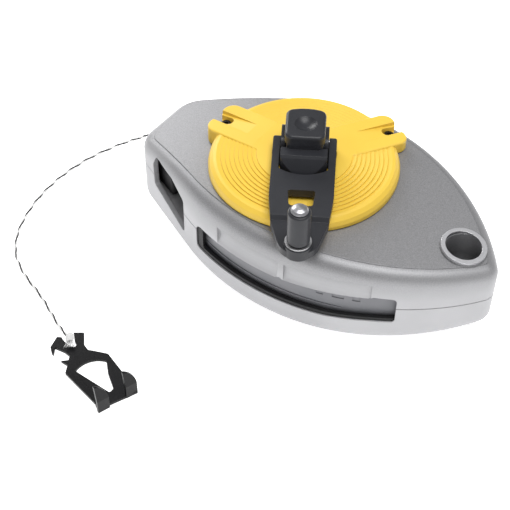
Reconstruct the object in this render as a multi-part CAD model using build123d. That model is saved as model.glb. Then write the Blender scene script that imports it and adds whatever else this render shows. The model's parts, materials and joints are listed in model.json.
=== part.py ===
from build123d import *
from math import acos, asin, atan2, cos, degrees, pi, radians, sin, sqrt, tan
import os

# Chalk line reel. Millimetres. Origin at the middle of the underside, +X towards the hanging
# hole, -X towards the nose where the line comes out, +Z up through the crank.

# ---------------------------------------------------------------- driving dimensions
case_length = 165.0
case_width = 90.0
case_height = 43.5
panel_rise = 0.3            # the textured panel stands this much proud of the top
panel_inset = 4.8           # and ends this far inside the outline
parting_z = 21.9
groove = 0.35               # the line between the two shells is cut this deep
wall = 2.4
tip_radius = 6.9
nose_radius = 13.0
flank_angle = 24.7          # degrees between the nose flank and the long axis
top_fillet = 5.7
bottom_fillet = 6.0
nose_crown_radius = 238.0   # the top falls away towards the nose on this radius
tip_crown_radius = 625.0    # the top falls away towards the tip on this radius
base_crown_radius = 395.0   # the underside rises towards the tip on this radius
base_flat_x = 10.0          # the underside is flat up to here
pocket_x0 = -79.2           # the nose is solid up to here
bulkhead_x = -43.6          # wall between the nose pocket and the chalk chamber

hub_x = -7.9                # axis of spool, gears and crank
hang_x = 67.0
hang_radius = 7.25

cover_radius = 39.3
cover_flat_z = 49.8         # the flat round the hub
cover_gap = 0.5             # shadow gap between cover and case
opening_radius = 34.0
ring_count = 9              # fine stepped rings on the cover
ring_r0 = 19.6
ring_r1 = 36.0
lug_angles = (180, 60, -60)
lug_half_width = 9.8
ear_r = 39.5                # the lug's rounded ears are centred here
ear_radius = 4.8
cover_screw_r = 39.6

module = 1.0
sun_teeth = 12
planet_teeth = 18
ring_teeth = 48
backlash = 0.07
gear_z0 = 35.4
gear_z1 = 41.2

spool_radius = 33.0
drum_radius = 14.0
winding_radius = 28.5
axle_radius = 3.0

arm_angle = -58.7           # the crank rests over one of the lugs
hinge_u = -3.6              # fold pin, measured along the arm from the hub axis
hinge_z = 52.9
hinge_pin_radius = 1.1
arm_z0 = 51.1
arm_z1 = 54.7
arm_step = 1.6              # the arm's outer end lies this much lower
knob_u = 54.8
knob_radius = 4.4

door_radii = (96.6, 98.0)   # inner and outer face of the sliding chalk door
rail_radii = (94.2, 96.0)
slot_cut_r = 98.3

screw_sink = 3.0            # the case screws sit this deep
line_z = 22.0
line_radius = 0.6

# ---------------------------------------------------------------- derived case values
top_height = case_height + panel_rise
nose_x = -case_length / 2
tip_x = case_length / 2 - tip_radius
half_width = case_width / 2
side_radius = (tip_x**2 + half_width**2 - tip_radius**2) / (2 * (half_width - tip_radius))
side_y = side_radius - half_width      # the near side's arc is centred at (0, +side_y)
lead_radius = winding_radius + line_radius + 0.3
flank_end = (-side_radius * sin(radians(flank_angle)), side_y - side_radius * cos(radians(flank_angle)))


def plan_face(inset):
    """Outline of the case seen from above, moved in by inset."""
    r = side_radius - inset
    a = radians(flank_angle)
    x0 = nose_x + inset
    leave = Vector(-r * sin(a), side_y - r * cos(a))
    corner_y = leave.Y + (leave.X - x0) * tan(a)
    t = (Vector(tip_x, 0) - Vector(0, side_y)).normalized()
    reach = Vector(0, side_y) + t * r
    near = [
        Line((x0, 0), (x0, corner_y)),
        Line((x0, corner_y), leave),
        ThreePointArc(leave, (0, side_y - r), reach),
        ThreePointArc(reach, (tip_x + (tip_radius - inset) * cos(radians(22)),
                              -(tip_radius - inset) * sin(radians(22))), (tip_x + tip_radius - inset, 0)),
    ]
    wire = Wire(near + [edge.mirror(Plane.XZ) for edge in near])
    face = make_face(wire.edges())
    corners = [v for v in face.vertices() if abs(v.X - x0) < 0.01 and abs(v.Y) > 1]
    return fillet(corners, nose_radius - inset)


def side_face(inset):
    """Outline of the case seen from the side, moved in by inset."""
    top = case_height - inset
    far = case_length / 2 + 5
    near = -far
    rn = nose_crown_radius - inset
    rt = tip_crown_radius - inset

    rb = base_crown_radius - inset

    def fall(r, x, start=hub_x):
        return r - sqrt(r * r - (x - start) ** 2)

    def rise(x):
        return inset + fall(rb, x, base_flat_x)

    lines = [
        Line((near, inset), (base_flat_x, inset)),
        ThreePointArc((base_flat_x, inset), (45, rise(45)), (far, rise(far))),
        Line((far, rise(far)), (far, top - fall(rt, far))),
        ThreePointArc((far, top - fall(rt, far)), (40, top - fall(rt, 40)), (hub_x, top)),
        ThreePointArc((hub_x, top), (-45, top - fall(rn, -45)), (near, top - fall(rn, near))),
        Line((near, top - fall(rn, near)), (near, inset)),
    ]
    return Plane.XZ * make_face(lines)


def case_block(inset):
    """Solid with the case's outer form, moved in by inset, edges sharp."""
    plan = extrude(plan_face(inset), case_height)
    side = extrude(side_face(inset), case_width, both=True)
    return plan & side


def rim_edges(block, upper):
    """The edges that run round the top or the bottom of a case block."""
    found = []
    for edge in block.edges():
        c = edge.center()
        box = edge.bounding_box()
        upright = box.size.Z > 10
        across = abs(c.Y) < 0.01 and min(abs(c.X - hub_x), abs(c.X - base_flat_x)) < 1
        if not upright and not across and (c.Z > parting_z) == upper:
            found.append(edge)
    return found


def rounded_case():
    block = case_block(0)
    block = fillet(rim_edges(block, True), top_fillet)
    return fillet(rim_edges(block, False), bottom_fillet)


def raised_panel():
    """The case's top panel, with its lower part inside the case."""
    plan = extrude(plan_face(panel_inset), case_width)
    side = extrude(side_face(-panel_rise), case_width, both=True)
    return plan & side & block(-100, 100, -60, 60, 30, 60)


def case_form():
    return rounded_case() + raised_panel()


def disc(r, z0, z1, x=hub_x, y=0.0):
    return Pos(x, y, z0) * extrude(Circle(r), z1 - z0)


def ring(r_out, r_in, z0, z1, x=hub_x, y=0.0):
    return Pos(x, y, z0) * extrude(Circle(r_out) - Circle(r_in), z1 - z0)


def block(x0, x1, y0, y1, z0, z1):
    return Pos((x0 + x1) / 2, (y0 + y1) / 2, (z0 + z1) / 2) * Box(x1 - x0, y1 - y0, z1 - z0)


def turned(points):
    """Solid of revolution about the hub axis from (radius, z) points."""
    face = Plane.XZ * make_face(Polyline(*points, close=True))
    return Pos(hub_x, 0, 0) * revolve(face, Axis.Z)


def side_band(r0, r1, z0, z1, a0, a1):
    """Curved bar that follows the near side wall; angles in degrees from -Y towards +X."""
    def at(r, a):
        return (r * sin(radians(a)), side_y - r * cos(radians(a)))
    mid = (a0 + a1) / 2
    lines = [
        ThreePointArc(at(r0, a0), at(r0, mid), at(r0, a1)),
        Line(at(r0, a1), at(r1, a1)),
        ThreePointArc(at(r1, a1), at(r1, mid), at(r1, a0)),
        Line(at(r1, a0), at(r0, a0)),
    ]
    return Pos(0, 0, z0) * extrude(make_face(lines), z1 - z0)


def arm_place(u, w, z, angle=arm_angle):
    """Place in the crank arm's own frame: u along the arm, w across it."""
    return Pos(hub_x, 0, 0) * Rot(0, 0, angle) * Pos(u, w, z)


def save(name, shape):
    shape.label = name
    export_step(shape, os.path.join("parts", name + ".step"))


# ---------------------------------------------------------------- case
screw_places = [(-62, 13), (-36, 29), (30, 33), (30, -28), (52, 15), (50, -16)]


def around_hub(r, angles):
    return [(hub_x + r * cos(radians(a)), r * sin(radians(a))) for a in angles]


def bottom_rise(x):
    return 0 if x < base_flat_x else base_crown_radius - sqrt(base_crown_radius**2 - (x - base_flat_x) ** 2)


def panel_z(x):
    """Height of the top panel on the long axis."""
    r = nose_crown_radius if x < hub_x else tip_crown_radius
    return top_height - (r - sqrt(r * r - (x - hub_x) ** 2))


def through_flank(face, depth):
    """An outline (along the near flank, z) pressed inward from just outside the flank."""
    a = radians(flank_angle)
    flank = Plane(origin=(*flank_end, 0), x_dir=(cos(a), -sin(a), 0), z_dir=(-sin(a), -cos(a), 0))
    return flank * Pos(0, 0, -depth) * extrude(face, depth + 5)


def nose_window():
    """Opening in the near flank that shows the line and its wiper."""
    outline = [(-2.3, 10.3), (-2.3, 29.0), (-12.5, 33.8), (-27.5, 33.6), (-30.4, 27.5), (-30.0, 16.6)]
    face = make_face(Polyline(*outline, close=True))
    return through_flank(fillet(face.vertices(), 1.8), 3.2)


def pocket_floor():
    """Raised floor of the nose pocket, just under the window's sill."""
    outline = [(-36, 1), (0.5, 1), (0.5, 9.4), (-2.3, 10.0), (-20, 13.6), (-36, 14.2)]
    return through_flank(make_face(Polyline(*outline, close=True)), 16)


def slot_face():
    """Outline of the chalk slot as seen from the side, as (x, z)."""
    sharp = [(10.8, 26.2), (12.6, 25.3), (45.6, 26.4), (47.4, 27.9), (9.0, 25.2)]
    outline = [(-34.5, 12.0), (30.0, 12.3), (46.6, 13.9), (55.4, 14.2), (55.4, 27.3), (47.4, 27.9),
               (45.6, 26.4), (12.6, 25.3), (10.8, 26.2), (9.0, 25.2), (-34.5, 25.2)]
    face = make_face(Polyline(*outline, close=True))
    face = fillet([v for v in face.vertices() if (round(v.X, 1), round(v.Y, 1)) in sharp], 0.5)
    face = fillet([v for v in face.vertices() if v.X < -34 and v.Y < 20], 2.2)
    face = fillet([v for v in face.vertices() if v.X < -34 and v.Y > 20], 3.6)
    return fillet([v for v in face.vertices() if v.X > 55], 1.8)


def through_side(face, r0, r1):
    """An (x, z) outline pressed through the curved near side between two radii."""
    prism = Plane.XZ * Pos(0, 0, 10) * extrude(face, 60)
    return prism & side_band(r0, r1, 0, case_height, -40, 50)


def finger_recess(a0, a1):
    """Shallow hollow in the side wall above the slot."""
    tool_radius = 9.6
    depth = 1.2
    turn = Pos(0, side_y, 29.8) * Rot(0, 0, a0 - 90)
    return turn * Torus(side_radius + tool_radius - depth, tool_radius, major_angle=a1 - a0, align=None)


def shell_body():
    outer = case_form()
    cavity = case_block(wall)
    cavity = fillet(rim_edges(cavity, True), top_fillet - wall)
    cavity = fillet(rim_edges(cavity, False), bottom_fillet - wall)
    body = outer - cavity
    # solid nose end, bulkhead behind the nose pocket, tube round the hanging hole
    body += outer & block(nose_x - 1, pocket_x0, -20, 20, 0, top_height)
    body += outer & block(bulkhead_x, bulkhead_x + 2, -40, 40, 0, top_height)
    body += outer & pocket_floor()
    body += outer & disc(hang_radius + 2.2, 0, top_height, hang_x)
    for x, y in screw_places:
        body += outer & disc(3.6, 0, top_height, x, y)
    # rails that guide the chalk door
    for z0, z1, lip0, lip1 in ((8.6, 11.0, 11.0, 13.0), (32.0, 34.4, 30.0, 32.0)):
        body += side_band(rail_radii[0], side_radius - wall / 2, z0, z1, -27, 50.5) & outer
        body += side_band(*rail_radii, lip0, lip1, -27, 50.5) & outer
    body -= disc(hang_radius + 0.8, -1, top_height + 2, hang_x)
    body -= through_side(slot_face(), slot_cut_r, side_radius + 3)
    body -= finger_recess(-11.8, 5.6)
    body -= finger_recess(7.2, 27.5)
    body -= nose_window()
    body -= along_lead(1.5, -3, 60)
    seam = block(-100, 100, -60, 60, parting_z - 0.15, parting_z + 0.15)
    return body - (seam - extrude(plan_face(groove), case_width))


def line_angle():
    """Angle between the lead-in of the line and the long axis."""
    return degrees(asin(lead_radius / (hub_x - nose_x)))


def along_lead(r, start, end):
    """Round bar on the line's straight way from the nose (start 0) to the spool."""
    way = Pos(nose_x, 0, line_z) * Rot(0, 0, -line_angle()) * Rot(0, 90, 0) * Pos(0, 0, start)
    return way * extrude(Circle(r), end - start)


def upper_shell(body):
    upper = body & block(-100, 100, -60, 60, parting_z, 60)
    outer = case_form()
    lug_screw_places = around_hub(cover_screw_r, lug_angles)
    for x, y in lug_screw_places:
        upper += outer & disc(3.0, 30, top_height, x, y)
    upper += hang_boss()
    upper -= disc(opening_radius, 27, 60)
    for x, y in lug_screw_places:
        upper -= disc(1.2, 33, 60, x, y)
    for x, y in screw_places:
        upper -= disc(1.3, 20, 33, x, y)
    return upper - disc(hang_radius + 0.8, 0, 60, hang_x)


def hang_tilt():
    """Slope of the top at the hanging hole, in degrees."""
    return degrees(asin((hang_x - hub_x) / tip_crown_radius))


def hang_boss():
    place = Pos(hang_x, 0, panel_z(hang_x)) * Rot(0, hang_tilt(), 0)
    return place * Pos(0, 0, -2) * extrude(Circle(hang_radius + 2.1), 2.9)


def hang_grommet():
    place = Pos(hang_x, 0, panel_z(hang_x)) * Rot(0, hang_tilt(), 0)
    collar = place * Pos(0, 0, 0.9) * extrude(Circle(hang_radius + 1.9), 0.9)
    sleeve = disc(hang_radius + 0.8, bottom_rise(hang_x) + 0.6, panel_z(hang_x) + 0.9, hang_x)
    grommet = collar + sleeve
    return grommet - disc(hang_radius, -5, 60, hang_x)


def lower_shell(body):
    lower = body & block(-100, 100, -60, 60, -5, parting_z)
    lower += disc(7.5, wall - 0.5, 5.2)
    lower -= disc(axle_radius, 1.0, 10)
    for x, y in screw_places:
        lower -= disc(1.7, -1, 30, x, y)
        lower -= disc(3.1, -1, bottom_rise(x) + screw_sink, x, y)
    return lower


def case_screws():
    parts = []
    for x, y in screw_places:
        seat = bottom_rise(x) + screw_sink
        screw = disc(2.9, seat - 2.0, seat, x, y) + disc(1.25, seat, 31.5, x, y)
        screw -= Pos(x, y, seat - 2.0) * extrude(RegularPolygon(1.2, 6), 1.2)
        parts.append(screw)
    return Compound(parts)


def chalk_door():
    door = side_band(*door_radii, 11.4, 31.6, -22.4, 36.2)
    door += side_band(door_radii[1] - 0.1, door_radii[1] + 0.4, 16.0, 16.5, -19, 20.8)
    # three small thumb grips
    for a0, a1 in ((14.8, 16.4), (18.6, 21.4), (23.4, 25.2)):
        door -= side_band(door_radii[1] - 0.25, door_radii[1] + 1, 21.2, 24.2, a0, a1)
    return door


def door_seal():
    """Black lip along the lower edge and the nose end of the slot."""
    clear = [(-30.5, 14.0), (30.0, 14.2), (46.6, 15.5), (60.0, 16.0), (60.0, 40.0), (-30.5, 40.0)]
    face = make_face(Polyline(*clear, close=True))
    inner = fillet([v for v in face.vertices() if v.X < -30 and v.Y < 20], 1.2)
    return through_side(slot_face() - inner, 98.6, 100.4)


def door_latch():
    """Leaf spring on the lower rail that holds the door shut."""
    leaf = side_band(94.6, 95.0, 13.2, 16.2, -23.6, -18)
    return leaf + side_band(94.2, 95.0, 13.0, 16.2, -25.2, -23.6)


# ---------------------------------------------------------------- nose
def felt_pocket():
    """The felt's box, centred on the line."""
    return Pos(nose_x, 0, line_z) * Rot(0, 0, -line_angle()) * Pos(21.6, 0, 0) * Box(5, 7, 9)


def wiper_block():
    """Rubber block in the nose pocket that squeezes the chalky line."""
    body = Pos(-62.6, -12.4, 23.0) * Rot(0, 0, -line_angle()) * Box(13, 17, 17)
    body = fillet(body.edges().filter_by(Axis.Z), 1.5)
    return body - felt_pocket() - along_lead(1.0, -5, 60)


def line_wiper():
    return felt_pocket() - along_lead(line_radius + 0.05, -5, 60)


def nose_eyelet():
    """Steel guide that lines the hole in the nose."""
    tube = along_lead(1.5, 0.6, 3.6)
    return tube - along_lead(0.9, -1, 10)


def line_lead():
    return along_lead(line_radius, 0, sqrt((hub_x - nose_x) ** 2 - lead_radius**2))


# ---------------------------------------------------------------- spool and axle
def main_axle():
    return disc(axle_radius, 1.0, 40.8)


def thrust_washer():
    return ring(7.2, axle_radius + 0.1, 5.2, 5.9)


def spool():
    body = turned([
        (4.6, 6.2), (spool_radius, 6.2), (spool_radius, 7.8), (drum_radius, 7.8),
        (drum_radius, 25.4), (spool_radius, 25.4), (spool_radius, 27.0), (7.0, 27.0),
        (7.0, 34.4), (5.0, 34.4), (5.0, 31.0), (4.6, 31.0),
    ])
    for x, y in around_hub(19.5, range(0, 360, 60)):
        body -= disc(3.2, 25, 28, x, y)
    return body


def spool_bush():
    return ring(4.6, axle_radius + 0.05, 6.2, 31.0)


def line_winding():
    r = winding_radius
    return turned([(drum_radius, 7.8), (r - 0.8, 7.8), (r, 10), (r, 23), (r - 0.8, 25.2), (drum_radius, 25.2)])


def dust_seal():
    return ring(10.5, 7.08, 32.8, 34.2)


# ---------------------------------------------------------------- gears
def involute_points(teeth, tip, root, thin, flare=1):
    """Half tooth from root to tip: (radius, half angle) pairs of an involute flank.

    thin takes a little off each flank for backlash. flare -1 gives the space of a ring gear.
    """
    pitch = module * teeth / 2
    base = pitch * cos(radians(20))
    inv20 = tan(radians(20)) - radians(20)
    points = []
    steps = 5
    low = max(base, root)
    for i in range(steps + 1):
        r = low + (tip - low) * i / steps
        a = acos(min(1, base / r))
        half = pi / (2 * teeth) + inv20 - (tan(a) - a) - flare * thin / pitch
        points.append((r, half))
    if root < base:
        points.insert(0, (root, points[0][1]))
    return points


def gear_face(teeth, tip, root, thin, flare=1):
    """Closed outline of a gear, tooth 0 centred on +X."""
    corners = []
    flank = involute_points(teeth, tip, root, thin, flare)
    for k in range(teeth):
        centre = 2 * pi * k / teeth
        for r, half in flank:
            corners.append((r * cos(centre - half), r * sin(centre - half)))
        for r, half in reversed(flank):
            corners.append((r * cos(centre + half), r * sin(centre + half)))
    return make_face(Polyline(*corners, close=True))


def sun_gear():
    teeth = gear_face(sun_teeth, sun_teeth / 2 + 0.85, 4.8, backlash)
    gear = Pos(hub_x, 0, gear_z0) * extrude(teeth, gear_z1 - gear_z0)
    gear += disc(5.0, 31.0, gear_z0)
    return gear - disc(axle_radius + 0.05, 30, 45)


def planet_angle(i):
    return 120 * i


def planet_centre(i):
    return around_hub(module * (sun_teeth + planet_teeth) / 2, [planet_angle(i)])[0]


def planet_gear(i):
    x, y = planet_centre(i)
    teeth = gear_face(planet_teeth, planet_teeth / 2 + 0.85, planet_teeth / 2 - 1.15, backlash)
    phase = planet_angle(i) + 180 - 180 / planet_teeth
    gear = Pos(x, y, gear_z0) * Rot(0, 0, phase) * extrude(teeth, gear_z1 - gear_z0)
    return gear - disc(2.05, 30, 45, x, y)


def ring_gear():
    """Internal gear: the outline cut out is a gear whose teeth are the ring's spaces."""
    spaces = gear_face(ring_teeth, ring_teeth / 2 + 1.15, ring_teeth / 2 - 0.8, backlash, -1)
    cut = Pos(hub_x, 0, gear_z0 - 1) * Rot(0, 0, 180 / ring_teeth) * extrude(spaces, 10)
    return disc(27.2, 35.2, 41.4) - cut


def housing_screw_places():
    return around_hub(31.2, (30, 150, 270))


def gear_housing():
    body = turned([
        (7.5, 31.2), (28.6, 31.2), (28.6, 42.8), (33.7, 42.8), (33.7, 44.6),
        (27.2, 44.6), (27.2, 35.2), (23.8, 35.2), (23.8, 32.8), (7.5, 32.8),
    ])
    for x, y in housing_screw_places():
        body -= disc(1.25, 40, 50, x, y)
    return body


def housing_screws():
    return Compound([disc(2.1, 41.2, 42.8, x, y) + disc(1.2, 42.8, 46.4, x, y) for x, y in housing_screw_places()])


def planet_pins():
    pins = []
    for i in range(3):
        x, y = planet_centre(i)
        pins.append(disc(2.0, 34.2, 43.8, x, y) + disc(3.0, 41.4, 42.0, x, y))
    return Compound(pins)


def pin_clips():
    clips = []
    for i in range(3):
        x, y = planet_centre(i)
        clips.append(ring(3.2, 2.0, 34.5, 35.1, x, y))
    return Compound(clips)


def planet_carrier():
    plate = disc(19.5, 42.0, 43.8)
    plate += Pos(hub_x, 0, 43.8) * Rot(0, 0, arm_angle) * extrude(RegularPolygon(5.0, 6), 2.2)
    for i in range(3):
        x, y = planet_centre(i)
        plate -= disc(2.0, 40, 50, x, y)
    return plate - hub_screw_hole()


def hub_screw_hole():
    return disc(1.45, 42, 48.4) + turned([(0, 42.0), (3.0, 42.0), (1.45, 43.5), (0, 43.5)])


def hub_screw():
    screw = hub_screw_hole()
    return screw - Pos(hub_x, 0, 41) * extrude(RegularPolygon(1.2, 6), 2.0)


# ---------------------------------------------------------------- yellow cover
def lug_slot():
    """Round-ended slot, open at the lug's end, over the screw's head."""
    return Pos(45, 0, 47.4) * Box(13, 4.6, 6) + Pos(38.5, 0, 44.4) * extrude(Circle(2.3), 6)


def lug_top(r):
    """Height of a lug's top: it falls outward from the cover's flat."""
    return cover_flat_z - max(0, r - 20) * 0.054


def cover_lug():
    """One of the three lugs, along +X: a flat arm that ends in two rounded ears."""
    x0 = 16.0
    x1 = ear_r + ear_radius
    plan = Pos((x0 + ear_r) / 2, 0, 41) * extrude(Rectangle(ear_r - x0, 2 * lug_half_width), 10)
    for w in (-5.0, 5.0):
        plan += Pos(ear_r, w, 41) * extrude(Circle(ear_radius), 10)
    profile = Polyline((x0, 41), (x0, cover_flat_z), (20, cover_flat_z), (x1, lug_top(x1)), (x1, 41), close=True)
    lug = plan & extrude(Plane.XZ * make_face(profile), 20, both=True)
    lug -= lug_slot()
    rims = [e for e in lug.edges() if e.center().Z > 48 and e.center().X > 21 and abs(e.center().Y) > 7]
    return fillet(rims, 0.8)


def lug_cuts():
    """What is taken out of the cover at a lug along +X: slot, shallow channel and screw hole."""
    channel = Polyline((26, 51), (26, lug_top(26)), (46, 46.4), (46, 51), close=True)
    cuts = extrude(Plane.XZ * make_face(channel), 3.4, both=True)
    return cuts + lug_slot() + Pos(cover_screw_r, 0, 30) * extrude(Circle(1.35), 20)


def at_hub(shape, angle):
    return Pos(hub_x, 0, 0) * Rot(0, 0, angle) * shape


def cover_top():
    """Turned top of the cover: flat round the hub, then rings that each rise a little and drop."""
    pitch = (ring_r1 - ring_r0) / ring_count
    rise = 0.35
    drop = 0.5
    rings = []
    low = cover_flat_z - drop
    for i in range(ring_count):
        r = ring_r0 + pitch * i
        rings += [(r, low), (r + pitch, low + rise)]
        low += rise - drop
    return turned([(8.3, 44.6), (8.3, 48.4), (13.2, 48.4), (13.2, cover_flat_z), (ring_r0, cover_flat_z)] + rings + [
        (37.2, 48.2), (38.6, 46.8), (cover_radius, 45.0), (cover_radius, 44.6)])


def gear_cover():
    case = case_form()
    skirt = ring(cover_radius, opening_radius, 39.5, 44.6)
    for angle in lug_angles:
        skirt += at_hub(cover_lug(), angle)
    skirt -= disc(opening_radius, 30, 44.6)
    skirt -= Pos(0, 0, cover_gap) * case
    # an inner rim stands on the case, and so do the pads under the screws
    rim = ring(opening_radius + 2.4, opening_radius, 39.5, 44.6)
    for x, y in around_hub(cover_screw_r, lug_angles):
        rim += disc(3.0, 39.5, 44.2, x, y)
    cover = cover_top() + skirt + (rim - case - disc(opening_radius, 30, 60))
    for angle in lug_angles:
        cover -= at_hub(lug_cuts(), angle)
    cover -= disc(10.4, 44.0, 45.8)
    for x, y in housing_screw_places():
        cover -= disc(1.2, 44, 46.6, x, y)
    return cover - disc(8.3, 30, 60)


def shaft_seal():
    return ring(10.4, 8.28, 44.6, 45.8)


def cover_screws():
    parts = []
    for x, y in around_hub(cover_screw_r, lug_angles):
        screw = disc(2.1, 44.4, 45.8, x, y) + disc(1.15, 34, 44.4, x, y)
        screw -= Pos(x, y, 45.0) * extrude(RegularPolygon(1.1, 6), 2)
        parts.append(screw)
    return Compound(parts)


# ---------------------------------------------------------------- crank
def on_arm(shape):
    return at_hub(shape, arm_angle)


def cross_bar(r, u, z, w0, w1):
    """Round bar across the arm."""
    return Pos(u, w0, z) * Rot(-90, 0, 0) * extrude(Circle(r), w1 - w0)


def crank_hub():
    hub = Pos(0, 0, 43.8) * extrude(Circle(8.2), 5.9)
    hub += Pos(0, 0, 49.5) * extrude(Circle(12.5), 1.2)
    for side in (-1, 1):
        ear = Pos(0, side * 8.7, 55.8) * Box(12.4, 1.8, 10.2)
        tops = [e for e in ear.edges().filter_by(Axis.Y) if e.center().Z > 60]
        hub += fillet(tops, 3.4)
    hub -= Pos(0, 0, 43.8) * extrude(RegularPolygon(5.0, 6), 2.2)
    hub -= cross_bar(hinge_pin_radius, hinge_u, hinge_z, -10, 10)
    return on_arm(hub) - disc(1.45, 43, 48.4)


def arm_outline():
    rear = hinge_u - (arm_z1 - arm_z0) / 2
    side = [(rear, 13.0), (31, 12.6), (43, 11.2), (53.6, 8.0)]
    lines = [Line(p, q) for p, q in zip(side, side[1:])]
    lines += [Line((u0, -w0), (u1, -w1)) for (u0, w0), (u1, w1) in zip(side, side[1:])]
    lines += [ThreePointArc((53.6, 8.0), (59.6, 0), (53.6, -8.0)), Line((rear, 13.0), (rear, -13.0))]
    face = make_face(Wire(lines).edges())
    return fillet([v for v in face.vertices() if v.X < 0], 2.6)


def arm_profile():
    """Side view of the arm: round at the hinge, with a step down before the knob."""
    rear = hinge_u - (arm_z1 - arm_z0) / 2
    low0 = arm_z0 - arm_step
    low1 = arm_z1 - arm_step
    return make_face([
        Line((hinge_u, arm_z0), (41.5, arm_z0)),
        Line((41.5, arm_z0), (43, low0)),
        Line((43, low0), (62, low0 - 0.4)),
        Line((62, low0 - 0.4), (62, low1 - 0.8)),
        Line((62, low1 - 0.8), (43, low1)),
        Line((43, low1), (41.5, arm_z1)),
        Line((41.5, arm_z1), (hinge_u, arm_z1)),
        ThreePointArc((hinge_u, arm_z1), (rear, hinge_z), (hinge_u, arm_z0)),
    ])


def crank_arm():
    arm = Pos(0, 0, 40) * extrude(arm_outline(), 30) & extrude(Plane.XZ * arm_profile(), 20, both=True)
    arm += Pos(knob_u, 0, 49.1) * extrude(Circle(5.5), 4.8)
    fork = [
        Line((-12, 9.9), (15.0, 9.9)), ThreePointArc((15.0, 9.9), (18.4, 0), (15.0, -9.9)),
        Line((15.0, -9.9), (-12, -9.9)), Line((-12, -9.9), (-12, 9.9)),
    ]
    arm -= Pos(0, 0, 40) * extrude(make_face(fork), 30)
    window = make_face(Polyline((27.3, 5.5), (36, 4.6), (36, -4.6), (27.3, -5.5), close=True))
    window = fillet(window.vertices(), 1.2)
    arm -= Pos(0, 0, 40) * extrude(window, 30)
    arm -= cross_bar(hinge_pin_radius + 0.05, hinge_u, hinge_z, -20, 20)
    arm -= Pos(knob_u, 0, 40) * extrude(Circle(2.2), 30)
    return on_arm(arm)


def hinge_pin():
    return on_arm(cross_bar(hinge_pin_radius, hinge_u, hinge_z, -12.6, 12.6))


def lever_plan(u0, u1, half, bulge0, bulge1):
    """Four-sided outline whose ends bow out by bulge0 and bulge1."""
    return make_face([
        Line((u0, -half), (u1, -half)), ThreePointArc((u1, -half), (u1 + bulge1, 0), (u1, half)),
        Line((u1, half), (u0, half)), ThreePointArc((u0, half), (u0 - bulge0, 0), (u0, -half)),
    ])


def release_lever():
    """Thumb block between the hub's ears; it rocks back on the hinge pin."""
    profile = make_face(Polyline(
        (-4.2, hinge_z - 1.7), (16.6, 51.3), (17.0, 52.1), (13.6, 58.5), (9.8, 62.7), (9.8, 66.0),
        (-10.0, 66.0), (-10.0, 60.6), (-5.4, 55.5), close=True))
    body = extrude(Plane.XZ * profile, 10, both=True)
    core = Pos(0.7, 0, 56.8) * Box(17.0, 14.8, 11.4)
    core = fillet(core.edges().filter_by(Axis.Z), 2.6)
    pad_face = lever_plan(-7.6, 9.2, 8.1, 1.6, 0.2)
    pad = Pos(0, 0, 61.6) * extrude(fillet(pad_face.vertices(), 3.2), 6)
    front = Pos(0, 0, 50.5) * extrude(lever_plan(8.0, 13.4, 9.3, 0.1, 3.6), 9)
    block_form = body & (core + pad + front)
    tops = [e for e in block_form.edges() if e.center().Z > 65.9]
    block_form = fillet(tops, 1.2)
    block_form -= Pos(0.8, 0, 71.2) * Sphere(6.9)
    spring_room = cross_bar(3.4, hinge_u, hinge_z, -2.2, 2.2)
    block_form -= cross_bar(hinge_pin_radius + 0.05, hinge_u, hinge_z, -20, 20) + spring_room
    return on_arm(block_form)


def lever_spring():
    """Coil round the hinge pin that swings the lever forward again."""
    coils = [Pos(hinge_u, w, hinge_z) * Rot(90, 0, 0) * Torus(1.65, 0.4) for w in (-1.4, -0.7, 0, 0.7, 1.4)]
    spring = coils[0]
    for coil in coils[1:]:
        spring += coil
    return on_arm(spring)


def on_knob(r, z0, z1):
    return on_arm(Pos(knob_u, 0, z0) * extrude(Circle(r), z1 - z0))


def knob_pin():
    pin = on_knob(2.2, 48.5, 70.7) + on_knob(3.5, 48.3, 49.1)
    profile = Polyline((0, 70.3), (3.3, 70.3), (3.3, 70.8), (2.7, 71.5), (1.5, 72.0), (0, 72.2), close=True)
    dome = revolve(Plane.XZ * make_face(profile), Axis.Z)
    return pin + on_arm(Pos(knob_u, 0, 0) * dome)


def knob_washer():
    return on_knob(5.1, 53.9, 54.7) - on_knob(2.2, 50, 60)


def knob_sleeve():
    sleeve = on_knob(knob_radius, 54.9, 70.1)
    outer = [e for e in sleeve.edges() if e.geom_type == GeomType.CIRCLE]
    return fillet(outer, 0.8) - on_knob(2.28, 50, 75)


# ---------------------------------------------------------------- free line and hook
hook_place = Pos(-55.7, -101.2, 0) * Rot(0, 0, -19.5)
sheet = 1.2

line_route = [
    (-82.6, 0.0, 22.0), (-88.0, 2.1, 20.4), (-94.2, 3.2, 13.6), (-100.8, 4.6, 7.2),
    (-107.8, 2.6, 2.6), (-113.4, -6.0, 0.7), (-116.8, -17.5, 0.7), (-118.4, -31.0, 0.7),
    (-117.8, -45.0, 0.7), (-114.8, -58.0, 0.7), (-109.8, -70.2, 0.7), (-101.6, -80.6, 0.7),
    (-89.6, -87.2, 0.7), (-77.0, -91.2, 0.7), (-65.5, -96.6, 0.7), (-57.2, -100.6, 1.6),
    (-52.4, -102.4, 2.6),
]


def corner_radii(points):
    """As large an arc at each corner as its two runs allow."""
    radii = []
    for a, b, c in zip(points, points[1:], points[2:]):
        first = Vector(b) - Vector(a)
        second = Vector(c) - Vector(b)
        turn = radians(first.get_angle(second))
        radii.append(0.45 * min(first.length, second.length) / tan(turn / 2))
    return radii


def free_line():
    radii = corner_radii(line_route)
    print("line radii", [round(r, 1) for r in radii])
    path = FilletPolyline(*line_route, radius=radii)
    tube = sweep(Plane(path @ 0, z_dir=path % 0) * Circle(line_radius), path=path)
    print("line length", round(path.length, 1), "volume", round(tube.volume, 2),
          "section x length", round(pi * line_radius**2 * path.length, 2))
    return tube


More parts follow.
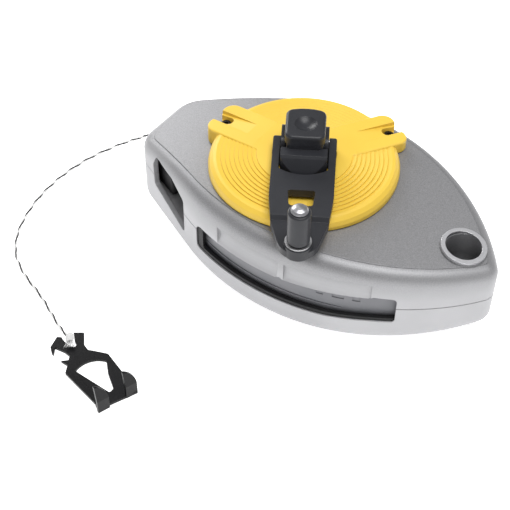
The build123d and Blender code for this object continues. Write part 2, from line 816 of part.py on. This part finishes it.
def hook_outline():
    """The hook's plate in its own frame: two curled prongs that hold the knot, and a broad front."""
    corners = [
        (3.0, 3.4), (5.4, 6.9), (11.1, 3.8), (14.2, 3.8), (15.4, 5.0), (20.4, 9.4), (36.5, 9.4),
        (43.1, 9.3), (41.7, -7.7), (38.5, -7.0), (19.2, -9.3), (16.2, -6.6), (13.0, -7.8), (14.3, -5.2),
        (12.6, -3.6), (9.6, -4.3), (5.6, -6.4), (8.4, -8.6), (7.4, -8.9), (4.4, -7.9), (1.2, -3.2),
        (2.4, -1.8), (5.0, -1.9), (8.4, -1.2), (9.8, 0.2), (9.4, 1.4), (7.4, 1.6),
    ]
    return make_face(Polyline(*corners, close=True))


def hook_hole():
    corner = (23.1, 7.1)
    low = (20.6, -5.6)
    face = make_face([
        ThreePointArc(low, (19.2, 0.4), corner),
        Line(corner, (28.7, 4.5)),
        Line((28.7, 4.5), (36.6, 2.4)),
        Line((36.6, 2.4), (37.4, 0.2)),
        Line((37.4, 0.2), low),
    ])
    return fillet(face.vertices(), 0.7)


def hook_tab(b0):
    """Upright tab on the front edge: its upper half leans back and its top falls to one side."""
    tilt = radians(9)
    bend = 6.6
    top = 14.8
    width = 5.0
    front = 42.9
    lean = (top - bend) * tan(tilt)
    side = make_face(Polyline(
        (front - sheet, 0), (front, 0), (front, bend), (front - lean, top), (front - sheet - lean, top),
        (front - sheet, bend), close=True))
    face = make_face([
        Line((b0, 0), (b0, top - 0.4)),
        ThreePointArc((b0, top - 0.4), (b0 + 3.2, 11.8), (b0 + width, bend)),
        Line((b0 + width, bend), (b0 + width, 0)),
        Line((b0 + width, 0), (b0, 0)),
    ])
    return extrude(Plane.XZ * side, 20, both=True) & extrude(Plane.YZ * face, 60)


def line_hook():
    plate = extrude(hook_outline(), sheet)
    plate -= Pos(0, 0, -1) * extrude(hook_hole(), 4)
    plate += hook_tab(-7.9) + hook_tab(4.6)
    return hook_place * plate


def line_knot():
    knot = Pos(6.0, 0.2, 3.0) * Sphere(1.7)
    return hook_place * knot


def main():
    os.makedirs("parts", exist_ok=True)
    body = shell_body()
    save("upper_shell", upper_shell(body))
    save("lower_shell", lower_shell(body))
    save("case_screws", case_screws())
    save("hang_grommet", hang_grommet())
    save("chalk_door", chalk_door())
    save("door_seal", door_seal())
    save("door_latch", door_latch())
    save("wiper_block", wiper_block())
    save("line_wiper", line_wiper())
    save("nose_eyelet", nose_eyelet())
    save("line_lead", line_lead())
    save("main_axle", main_axle())
    save("thrust_washer", thrust_washer())
    save("spool", spool())
    save("spool_bush", spool_bush())
    save("line_winding", line_winding())
    save("dust_seal", dust_seal())
    save("sun_gear", sun_gear())
    for i in range(3):
        save("planet_gear_%d" % (i + 1), planet_gear(i))
    save("ring_gear", ring_gear())
    save("gear_housing", gear_housing())
    save("housing_screws", housing_screws())
    save("planet_pins", planet_pins())
    save("pin_clips", pin_clips())
    save("planet_carrier", planet_carrier())
    save("hub_screw", hub_screw())
    save("gear_cover", gear_cover())
    save("shaft_seal", shaft_seal())
    save("cover_screws", cover_screws())
    save("crank_hub", crank_hub())
    save("crank_arm", crank_arm())
    save("hinge_pin", hinge_pin())
    save("release_lever", release_lever())
    save("lever_spring", lever_spring())
    save("knob_pin", knob_pin())
    save("knob_washer", knob_washer())
    save("knob_sleeve", knob_sleeve())
    save("free_line", free_line())
    save("line_hook", line_hook())
    save("line_knot", line_knot())


main()
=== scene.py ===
import json
from math import cos, pi, radians, sin, tan

import bpy
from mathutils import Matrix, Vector


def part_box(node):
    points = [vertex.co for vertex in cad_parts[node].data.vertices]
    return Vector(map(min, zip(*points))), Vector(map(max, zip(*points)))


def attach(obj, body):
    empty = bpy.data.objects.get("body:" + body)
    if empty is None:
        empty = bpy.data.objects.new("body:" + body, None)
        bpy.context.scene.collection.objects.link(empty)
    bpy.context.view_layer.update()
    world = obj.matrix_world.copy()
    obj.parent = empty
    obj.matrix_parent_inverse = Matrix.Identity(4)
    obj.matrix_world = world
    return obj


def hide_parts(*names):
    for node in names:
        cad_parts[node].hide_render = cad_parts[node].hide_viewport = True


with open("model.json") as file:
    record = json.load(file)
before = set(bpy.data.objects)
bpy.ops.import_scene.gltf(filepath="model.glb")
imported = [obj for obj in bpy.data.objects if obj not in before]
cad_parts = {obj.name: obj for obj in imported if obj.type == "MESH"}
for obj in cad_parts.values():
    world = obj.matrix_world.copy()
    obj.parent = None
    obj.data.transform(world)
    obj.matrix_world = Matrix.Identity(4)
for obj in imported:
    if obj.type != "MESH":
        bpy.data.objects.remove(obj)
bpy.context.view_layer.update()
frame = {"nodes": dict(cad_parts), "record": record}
nodes = frame["nodes"]


# ---------------------------------------------------------------- camera
def add_camera(azimuth, elevation, roll, distance, target, lens):
    """Camera that looks at target; angles in degrees, distance in metres, lens in millimetres."""
    az, el, turn = radians(azimuth), radians(elevation), radians(roll)
    right = Vector((cos(az), sin(az), 0))
    back = Vector((sin(az) * cos(el), -cos(az) * cos(el), sin(el)))
    up = back.cross(right)
    side = right * cos(turn) + up * sin(turn)
    top = up * cos(turn) - right * sin(turn)
    data = bpy.data.cameras.new("camera")
    data.lens = lens
    data.sensor_width = 36
    data.clip_start = 0.01
    camera = bpy.data.objects.new("camera", data)
    bpy.context.scene.collection.objects.link(camera)
    eye = Vector(target) + back * distance
    for row in range(3):
        camera.matrix_world[row][0] = side[row]
        camera.matrix_world[row][1] = top[row]
        camera.matrix_world[row][2] = back[row]
        camera.matrix_world[row][3] = eye[row]
    bpy.context.scene.camera = camera


add_camera(
    azimuth=35.06, elevation=46.54, roll=0.634, distance=0.4914,
    target=(-0.00608, -0.03682, 0.0219), lens=85.4,
)


# ---------------------------------------------------------------- material helpers
class Maker:
    """One node material, with short names for the nodes that it uses."""

    def __init__(self, name, color, roughness, metallic=0.0, specular=0.5, edge=0.0):
        self.material = bpy.data.materials.new(name)
        self.material.use_nodes = True
        self.tree = self.material.node_tree
        self.shader = self.tree.nodes["Principled BSDF"]
        self.shader.inputs["Base Color"].default_value = (*color, 1)
        self.shader.inputs["Roughness"].default_value = roughness
        self.shader.inputs["Metallic"].default_value = metallic
        self.shader.inputs["Specular IOR Level"].default_value = specular
        self.place = self.node("ShaderNodeTexCoord").outputs["Object"]
        if edge:
            bevel = self.node("ShaderNodeBevel", samples=4)
            bevel.inputs["Radius"].default_value = edge
            self.link(bevel.outputs["Normal"], self.shader.inputs["Normal"])

    def node(self, kind, **settings):
        made = self.tree.nodes.new(kind)
        for name, value in settings.items():
            setattr(made, name, value)
        return made

    def link(self, source, target):
        if isinstance(source, (int, float)):
            target.default_value = source
        else:
            self.tree.links.new(source, target)

    def math(self, operation, a, b=0.0):
        made = self.node("ShaderNodeMath", operation=operation)
        self.link(a, made.inputs[0])
        self.link(b, made.inputs[1])
        return made.outputs[0]

    def noise(self, size, detail=2.0, roughness=0.5):
        """Soft noise whose blobs are about size metres across."""
        made = self.node("ShaderNodeTexNoise")
        self.link(self.place, made.inputs["Vector"])
        made.inputs["Scale"].default_value = 1 / size
        made.inputs["Detail"].default_value = detail
        made.inputs["Roughness"].default_value = roughness
        return made.outputs["Fac"]

    def spread(self, value, low, high, to_low=0.0, to_high=1.0):
        made = self.node("ShaderNodeMapRange", clamp=True)
        self.link(value, made.inputs["Value"])
        made.inputs["From Min"].default_value = low
        made.inputs["From Max"].default_value = high
        made.inputs["To Min"].default_value = to_low
        made.inputs["To Max"].default_value = to_high
        return made.outputs["Result"]

    def mix(self, factor, a, b):
        made = self.node("ShaderNodeMix", data_type="RGBA")
        self.link(factor, made.inputs["Factor"])
        for color, socket in ((a, made.inputs["A"]), (b, made.inputs["B"])):
            if isinstance(color, tuple):
                socket.default_value = (*color, 1)
            else:
                self.tree.links.new(color, socket)
        return made.outputs["Result"]

    def bump(self, height, depth):
        """Relief of depth metres, added to any relief made before it."""
        made = self.node("ShaderNodeBump")
        made.inputs["Strength"].default_value = 1.0
        made.inputs["Distance"].default_value = depth
        self.link(height, made.inputs["Height"])
        before = self.shader.inputs["Normal"]
        if before.is_linked:
            self.link(before.links[0].from_socket, made.inputs["Normal"])
        self.link(made.outputs["Normal"], before)

    def color(self, value):
        self.link(value, self.shader.inputs["Base Color"])

    def roughness(self, value):
        self.link(value, self.shader.inputs["Roughness"])


def plastic(name, color, shade, roughness, grain=0.0004, depth=0.00002, specular=0.5):
    """Moulded plastic: slow cloudy shade, fine grain, and edges that are softly rounded."""
    m = Maker(name, color, roughness, specular=specular, edge=0.0003)
    cloud = m.noise(0.02, 3)
    m.color(m.mix(m.spread(cloud, 0.35, 0.65), color, shade))
    fine = m.noise(grain, 3)
    m.roughness(m.spread(fine, 0.3, 0.7, roughness - 0.06, roughness + 0.08))
    m.bump(fine, depth)
    return m


def metal(name, color, shade, roughness):
    """Machined metal: fine streaks, slow changes of gloss, and softly rounded edges."""
    m = Maker(name, color, roughness, metallic=1.0, edge=0.0002)
    streak = m.noise(0.0006, 4)
    m.color(m.mix(m.spread(streak, 0.3, 0.7), color, shade))
    m.roughness(m.spread(m.noise(0.004, 3), 0.3, 0.7, roughness - 0.05, roughness + 0.1))
    m.bump(streak, 0.000006)
    return m


def inside_outline(m):
    """How far a point lies inside the case's outline, seen from above, and its height, in metres."""
    low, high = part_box("upper_shell")
    half_width = high[1]
    tip_radius = 0.0069
    flank_angle = radians(24.7)
    tip_x = high[0] - tip_radius
    side_radius = (tip_x**2 + half_width**2 - tip_radius**2) / (2 * (half_width - tip_radius))
    side_y = side_radius - half_width
    split = m.node("ShaderNodeSeparateXYZ")
    m.link(m.place, split.inputs[0])
    x = split.outputs["X"]
    y = m.math("ABSOLUTE", split.outputs["Y"])
    reach_y = m.math("ADD", y, side_y)
    squares = m.math("ADD", m.math("MULTIPLY", x, x), m.math("MULTIPLY", reach_y, reach_y))
    reach = m.math("SQRT", squares)
    from_side = m.math("SUBTRACT", side_radius, reach)
    slope_x = sin(flank_angle)
    slope_y = cos(flank_angle)
    along = m.math("MULTIPLY", m.math("ADD", x, side_radius * slope_x), slope_x)
    across = m.math("MULTIPLY", m.math("ADD", y, side_y - side_radius * slope_y), slope_y)
    from_flank = m.math("SUBTRACT", along, across)
    border = m.math("ADD", x, m.math("MULTIPLY", reach_y, tan(flank_angle)))
    on_flank = m.math("LESS_THAN", border, 0.0)
    change = m.math("MULTIPLY", on_flank, m.math("SUBTRACT", from_flank, from_side))
    from_nose = m.math("SUBTRACT", x, low[0])
    return m.math("MINIMUM", m.math("ADD", from_side, change), from_nose), split.outputs["Z"]


def shell_plastic():
    """Satin silver moulding with a darker, sand-textured panel on top; higher up the walls the
    colour is darkened as painted shade.
    """
    m = Maker("silver_shell", (0.4, 0.4, 0.41), 0.5, metallic=0.55, edge=0.0006)
    inset, z = inside_outline(m)
    panel_inset = 0.0048
    border = 0.0001
    shade_ends = 0.0042
    panel_from = 0.028
    high_enough = m.spread(z, panel_from, panel_from + 0.001)
    panel = m.math("MULTIPLY", m.spread(inset, panel_inset - border, panel_inset), high_enough)
    cloud = m.spread(m.noise(0.03, 3), 0.35, 0.65)
    smooth = m.mix(cloud, (0.4, 0.4, 0.412), (0.44, 0.44, 0.452))
    sand = m.noise(0.00045, 4, roughness=0.65)
    speckle = m.mix(m.spread(sand, 0.36, 0.64), (0.21, 0.21, 0.218), (0.29, 0.29, 0.298))
    finish_and_painted_shade = m.math("MULTIPLY", m.spread(inset, 0.0002, shade_ends), high_enough)
    # painted shade: the walls take the darker speckle colour more and more towards their top, by
    # height alone
    painted_shade_by_height = m.spread(z, 0.026, 0.04, 0.0, 0.85)
    finish_and_painted_shade = m.math("MAXIMUM", finish_and_painted_shade, painted_shade_by_height)
    m.color(m.mix(finish_and_painted_shade, smooth, speckle))
    m.roughness(m.mix(panel, (0.52, 0.52, 0.52), (0.5, 0.5, 0.5)))
    m.bump(m.math("MULTIPLY", sand, panel), 0.00006)
    m.bump(m.noise(0.0009, 2), 0.000006)
    return m


def yellow_plastic():
    """The cover's half-gloss plastic."""
    m = Maker("yellow_plastic", (0.9, 0.56, 0.05), 0.42, edge=0.0003)
    cloud = m.spread(m.noise(0.025, 3), 0.35, 0.65)
    m.color(m.mix(cloud, (0.75, 0.5, 0.052), (0.79, 0.53, 0.062)))
    fine = m.noise(0.0003, 3)
    m.roughness(m.spread(fine, 0.3, 0.7, 0.38, 0.5))
    m.bump(fine, 0.000012)
    return m


def crank_plastic(name, color, roughness):
    """Glass-filled plastic with a fine grain."""
    darker = tuple(0.7 * part for part in color)
    return plastic(name, color, darker, roughness, 0.00035, 0.00001, specular=0.32)


def grommet_metal():
    """Satin rim; the bore below it is duller, and its colour is painted darker with depth as painted
    shade in the hole.
    """
    m = Maker("grommet_metal", (0.6, 0.6, 0.62), 0.36, metallic=0.8, edge=0.0003)
    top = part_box("hang_grommet")[1][2]
    split = m.node("ShaderNodeSeparateXYZ")
    m.link(m.place, split.inputs[0])
    depth = m.math("SUBTRACT", top, split.outputs["Z"])
    ring_marks = m.noise(0.0007, 3)
    rim = m.mix(m.spread(ring_marks, 0.3, 0.7), (0.56, 0.56, 0.58), (0.64, 0.64, 0.66))
    # painted shade: the colour darkens with depth below the rim, down into the hole
    m.color(m.mix(m.spread(depth, 0.003, 0.012), rim, (0.19, 0.19, 0.195)))
    m.bump(ring_marks, 0.00001)
    return m


materials = {
    "silver_shell": shell_plastic(),
    "grommet_metal": grommet_metal(),
    "yellow_plastic": yellow_plastic(),
    "crank_plastic": crank_plastic("crank_plastic", (0.026, 0.027, 0.032), 0.36),
    "door_plastic": plastic("door_plastic", (0.16, 0.165, 0.18), (0.19, 0.19, 0.205), 0.35),
    "black_rubber": plastic(
        "black_rubber", (0.008, 0.008, 0.009), (0.014, 0.014, 0.015), 0.55, specular=0.3,
    ),
    "plain_steel": metal("plain_steel", (0.55, 0.55, 0.56), (0.45, 0.45, 0.46), 0.32),
    "black_screw": metal("black_screw", (0.06, 0.06, 0.06), (0.03, 0.03, 0.03), 0.4),
    "bright_rivet": metal("bright_rivet", (0.4, 0.4, 0.42), (0.34, 0.34, 0.36), 0.36),
    "felt": plastic("felt", (0.2, 0.2, 0.21), (0.3, 0.3, 0.31), 0.95, 0.0003, 0.0001),
    "spool_plastic": plastic("spool_plastic", (0.02, 0.02, 0.022), (0.03, 0.03, 0.032), 0.5),
    "gear_nylon": plastic("gear_nylon", (0.75, 0.72, 0.62), (0.7, 0.67, 0.58), 0.45),
    "bush_bronze": metal("bush_bronze", (0.6, 0.38, 0.16), (0.5, 0.3, 0.12), 0.45),
    "twisted_line": plastic("twisted_line", (0.6, 0.6, 0.6), (0.5, 0.5, 0.5), 0.85, 0.0002),
    "hook_steel": plastic(
        "hook_steel", (0.004, 0.004, 0.0045), (0.008, 0.008, 0.009), 0.32, specular=0.18,
    ),
}

for part in frame["record"]["subparts"]:
    node = nodes[part["node"]]
    node.data.materials.clear()
    node.data.materials.append(materials[part["material_slot"]].material)


# ---------------------------------------------------------------- line
route = [
    (-0.0826, 0.0, 0.022), (-0.088, 0.0021, 0.0204), (-0.0942, 0.0032, 0.0136),
    (-0.1008, 0.0046, 0.0072), (-0.1078, 0.0026, 0.0026), (-0.1134, -0.006, 0.0007),
    (-0.1168, -0.0175, 0.0007), (-0.1184, -0.031, 0.0007), (-0.1178, -0.045, 0.0007),
    (-0.1148, -0.058, 0.0007), (-0.1098, -0.0702, 0.0007), (-0.1016, -0.0806, 0.0007),
    (-0.0896, -0.0872, 0.0007), (-0.077, -0.0912, 0.0007), (-0.0655, -0.0966, 0.0007),
    (-0.0572, -0.1006, 0.0016), (-0.0524, -0.1024, 0.0026),
]


def smooth_line(points):
    """Points close together on the one spline that has the route's points as its controls."""
    data = bpy.data.curves.new("route", "CURVE")
    data.dimensions = "3D"
    spline = data.splines.new("NURBS")
    spline.points.add(len(points) - 1)
    for point, place in zip(spline.points, points):
        point.co = (*place, 1)
    spline.order_u = 3
    spline.use_endpoint_u = True
    spline.resolution_u = 24
    holder = bpy.data.objects.new("route", data)
    bpy.context.scene.collection.objects.link(holder)
    bpy.context.view_layer.update()
    mesh = bpy.data.meshes.new_from_object(holder)
    found = [v.co.copy() for v in mesh.vertices]
    bpy.data.objects.remove(holder)
    bpy.data.meshes.remove(mesh)
    return found


def frames_along(points):
    """A direction and two side directions at each point, without twist between them."""
    result = []
    side = None
    for i in range(len(points)):
        ahead = (points[min(i + 1, len(points) - 1)] - points[max(i - 1, 0)]).normalized()
        if side is None:
            side = ahead.orthogonal().normalized()
        side = (side - ahead * side.dot(ahead)).normalized()
        result.append((ahead, side, ahead.cross(side)))
    return result


def tube(name, points, radius, sides=10):
    """A closed round tube along points; radius is one number or one for each point."""
    verts = []
    faces = []
    for i, (ahead, side, other) in enumerate(frames_along(points)):
        r = radius if isinstance(radius, float) else radius[i]
        for k in range(sides):
            angle = 2 * pi * k / sides
            verts.append(points[i] + side * (r * cos(angle)) + other * (r * sin(angle)))
    for i in range(len(points) - 1):
        for k in range(sides):
            a, b = i * sides + k, i * sides + (k + 1) % sides
            faces.append((a, b, b + sides, a + sides))
    faces.append(tuple(reversed(range(sides))))
    faces.append(tuple(range(len(verts) - sides, len(verts))))
    mesh = bpy.data.meshes.new(name)
    mesh.from_pydata(verts, [], faces)
    mesh.polygons.foreach_set("use_smooth", [True] * len(mesh.polygons))
    made = bpy.data.objects.new(name, mesh)
    bpy.context.scene.collection.objects.link(made)
    return made


def join(name, parts):
    """All parts made into one object, in the first part's place."""
    bpy.ops.object.select_all(action="DESELECT")
    for part in parts:
        part.select_set(True)
    bpy.context.view_layer.objects.active = parts[0]
    bpy.ops.object.join()
    parts[0].name = name
    return parts[0]


def twisted_line(points, diameter, pitch):
    """Two strands, laid round each other along points."""
    frames = frames_along(points)
    offset = diameter * 0.22
    radius = diameter * 0.28
    strands = []
    run = [0.0]
    for a, b in zip(points, points[1:]):
        run.append(run[-1] + (b - a).length)
    for start in (0, pi):
        middle = []
        for point, along, (ahead, side, other) in zip(points, run, frames):
            angle = start + 2 * pi * along / pitch
            middle.append(point + (side * cos(angle) + other * sin(angle)) * offset)
        strands.append(tube("strand", middle, radius))
    return strands


def resample(points, step):
    """The same line with a point every step metres."""
    found = [points[0]]
    rest = step
    for a, b in zip(points, points[1:]):
        length = (b - a).length
        at = rest
        while at <= length:
            found.append(a + (b - a) * (at / length))
            at += step
        rest = at - length
    return found


line_diameter = 0.0012
centre_line = smooth_line(route)
line_step = 0.0004
line_pitch = 0.0085
dark_strand, pale_strand = twisted_line(resample(centre_line, line_step), line_diameter, line_pitch)
dark_fibre = plastic("dark_fibre", (0.015, 0.015, 0.016), (0.04, 0.04, 0.04), 0.85, 0.0002)
pale_fibre = plastic("pale_fibre", (0.75, 0.75, 0.74), (0.6, 0.6, 0.6), 0.85, 0.0002)
dark_strand.data.materials.append(dark_fibre.material)
pale_strand.data.materials.append(pale_fibre.material)
line = join("twisted_line", [dark_strand, pale_strand])
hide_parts("free_line")
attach(line, "case")


def tied_knot():
    """Knot at the hook: two strands wound four times, with a frayed end."""
    low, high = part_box("line_knot")
    middle = (Vector(low) + Vector(high)) / 2
    axis = Vector((0.63, -0.77, 0.0)).normalized()
    across = Vector((-axis.y, axis.x, 0))
    up = Vector((0, 0, 1))
    turns = 4
    steps = 28
    radius = 0.00125
    length = 0.0036
    flatten = 0.85
    fibres = 11
    fibre_step = 0.0006
    fibre_radii = [0.00016, 0.00016, 0.00014, 0.00012, 0.0001, 0.00006]
    parts = []
    for strand in range(2):
        points = []
        for i in range(turns * steps + 1):
            angle = 2 * pi * i / steps + pi * strand
            along = (i / (turns * steps) - 0.5) * length
            swell = radius * (1 - 0.5 * abs(along) / length) + 0.00012 * sin(5 * angle + strand)
            sideways = across * (swell * cos(angle)) + up * (swell * sin(angle) * flatten)
            points.append(middle + axis * along + sideways)
        parts.append(tube("turn", points, 0.00042, 8))
    for i in range(fibres):
        lean = (i - 5) / 5
        start = middle + axis * 0.0015 + across * (0.0009 * lean)
        points = [start]
        for k in range(1, len(fibre_radii)):
            reach = fibre_step * k
            curl = 0.00018 * sin(2.1 * i + 0.9 * k)
            sideways = across * (lean * reach * 0.45 + curl) + up * (curl - 0.00012 * k)
            points.append(start + axis * reach + sideways)
        parts.append(tube("fibre", points, fibre_radii, 6))
    for part in parts:
        part.data.materials.append(pale_fibre.material)
    return join("tied_knot", parts)


knot = tied_knot()
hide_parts("line_knot")
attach(knot, "case")


# ---------------------------------------------------------------- floor and light
def add_floor():
    """Plain pale floor that glows a little, so that it stays even."""
    bpy.ops.mesh.primitive_plane_add(size=8, location=(0, 0, -0.0002))
    floor = bpy.context.object
    floor.name = "floor"
    paper = Maker("floor", (0.9, 0.9, 0.9), 0.9)
    cloud = paper.spread(paper.noise(0.4), 0.3, 0.7)
    paper.color(paper.mix(cloud, (0.9, 0.9, 0.9), (0.91, 0.91, 0.91)))
    paper.shader.inputs["Emission Color"].default_value = (1, 1, 1, 1)
    paper.shader.inputs["Emission Strength"].default_value = 0.7
    floor.data.materials.append(paper.material)


def add_panel(name, place, size, power):
    """A square soft light that faces the middle of the scene."""
    data = bpy.data.lights.new(name, "AREA")
    data.shape = "RECTANGLE"
    data.size = size
    data.size_y = size
    data.energy = power
    lamp = bpy.data.objects.new(name, data)
    lamp.location = place
    lamp.rotation_euler = (-Vector(place)).to_track_quat("-Z", "Y").to_euler()
    bpy.context.scene.collection.objects.link(lamp)


def add_world(strength):
    world = bpy.data.worlds.new("world")
    bpy.context.scene.world = world
    world.use_nodes = True
    background = world.node_tree.nodes["Background"]
    background.inputs["Color"].default_value = (1, 1, 1, 1)
    background.inputs["Strength"].default_value = strength


add_floor()
add_world(0.4)
add_panel("key", (-0.85, 0.4, 0.5), 0.5, 5)
add_panel("top", (0.2, -0.05, 1.1), 0.7, 11)
bpy.context.scene.view_settings.view_transform = "Standard"
